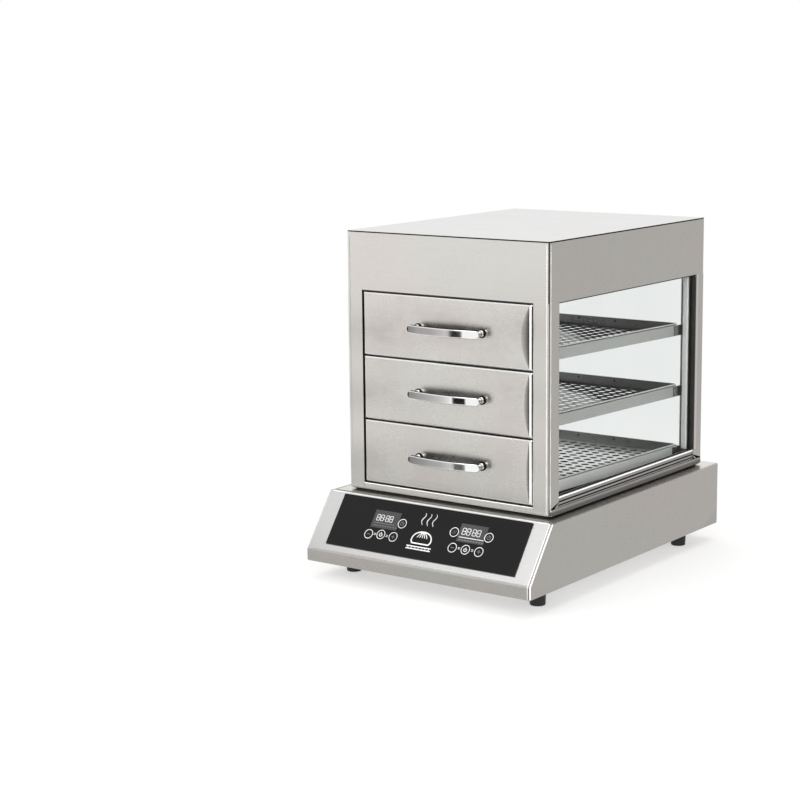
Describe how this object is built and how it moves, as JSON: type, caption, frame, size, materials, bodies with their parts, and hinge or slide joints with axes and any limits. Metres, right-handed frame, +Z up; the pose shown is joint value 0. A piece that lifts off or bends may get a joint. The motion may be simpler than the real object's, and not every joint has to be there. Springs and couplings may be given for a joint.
{
  "type": "bun steamer",
  "caption": "Counter-top bun steamer: a wedge-fronted steam base with touch controls, a glazed cabinet with perforated drawers on sloping runners, and a sheet steel hood.",
  "frame": {"origin": "on the surface that the feet stand on, below the centre of the outer box", "axes": "+X to the right seen from the front, +Y to the back, +Z up; the drawers and the panel face -Y"},
  "size_m": [0.391, 0.558, 0.5103],
  "materials": {
    "satin_steel": "satin brushed",
    "drawer_steel": "satin with cloudy wiping marks",
    "tray_steel": "satin",
    "polished_steel": "polished",
    "heater_steel": "heat-stained",
    "screw_steel": "plain",
    "handle_chrome": "mirror",
    "clear_glass": "clear",
    "panel_black": "gloss",
    "display_grey": "smoked window",
    "board_green": "lacquered board",
    "relay_plastic": "moulded",
    "gland_plastic": "moulded",
    "foot_rubber": "matt",
    "seal_rubber": "matt"
  },
  "bodies": {
    "cabinet": {"base_floor": "satin_steel", "base_shell": "satin_steel", "board_standoffs": "screw_steel", "boil_dry_probe": "heater_steel", "cable_gland": "gland_plastic", "control_board": "board_green", "control_panel": "panel_black", "display_left": "display_grey", "display_right": "display_grey", "foot_front_left": "foot_rubber", "foot_front_right": "foot_rubber", "foot_rear_left": "foot_rubber", "foot_rear_right": "foot_rubber", "foot_screws": "screw_steel", "front_rail": "satin_steel", "glass_left": "clear_glass", "glass_rear": "clear_glass", "glass_right": "clear_glass", "glazing_strips": "seal_rubber", "head_rail": "satin_steel", "heater_left": "heater_steel", "heater_right": "heater_steel", "hood": "satin_steel", "hood_liner": "polished_steel", "hood_top": "satin_steel", "plinth_frame": "polished_steel", "plinth_seal": "seal_rubber", "port_nuts": "screw_steel", "post_front_left": "satin_steel", "post_front_right": "satin_steel", "post_rear_left": "satin_steel", "post_rear_right": "satin_steel", "power_board": "board_green", "rear_rail": "polished_steel", "relays": "relay_plastic", "runner_left_bottom": "tray_steel", "runner_left_middle": "tray_steel", "runner_left_top": "tray_steel", "runner_right_bottom": "tray_steel", "runner_right_middle": "tray_steel", "runner_right_top": "tray_steel", "side_rail_left": "polished_steel", "side_rail_right": "polished_steel", "terminal_block": "relay_plastic", "water_pan": "polished_steel"},
    "drawer_bottom": {"drawer_front_bottom": "drawer_steel", "tray_bottom": "tray_steel", "tray_floor_bottom": "tray_steel", "handle_bottom": "handle_chrome", "handle_screws_bottom": "screw_steel"},
    "drawer_middle": {"drawer_front_middle": "drawer_steel", "tray_middle": "tray_steel", "tray_floor_middle": "tray_steel", "handle_middle": "handle_chrome", "handle_screws_middle": "screw_steel"},
    "drawer_top": {"drawer_front_top": "drawer_steel", "tray_top": "tray_steel", "tray_floor_top": "tray_steel", "handle_top": "handle_chrome", "handle_screws_top": "screw_steel"}
  },
  "joints": [
    {"name": "drawer_bottom_slide", "type": "slide", "parent": "cabinet", "child": "drawer_bottom", "axis": [0, -0.9997, 0.0253], "range_m": [0, 0.3]},
    {"name": "drawer_middle_slide", "type": "slide", "parent": "cabinet", "child": "drawer_middle", "axis": [0, -0.9997, 0.0253], "range_m": [0, 0.3]},
    {"name": "drawer_top_slide", "type": "slide", "parent": "cabinet", "child": "drawer_top", "axis": [0, -0.9997, 0.0253], "range_m": [0, 0.3]}
  ]
}
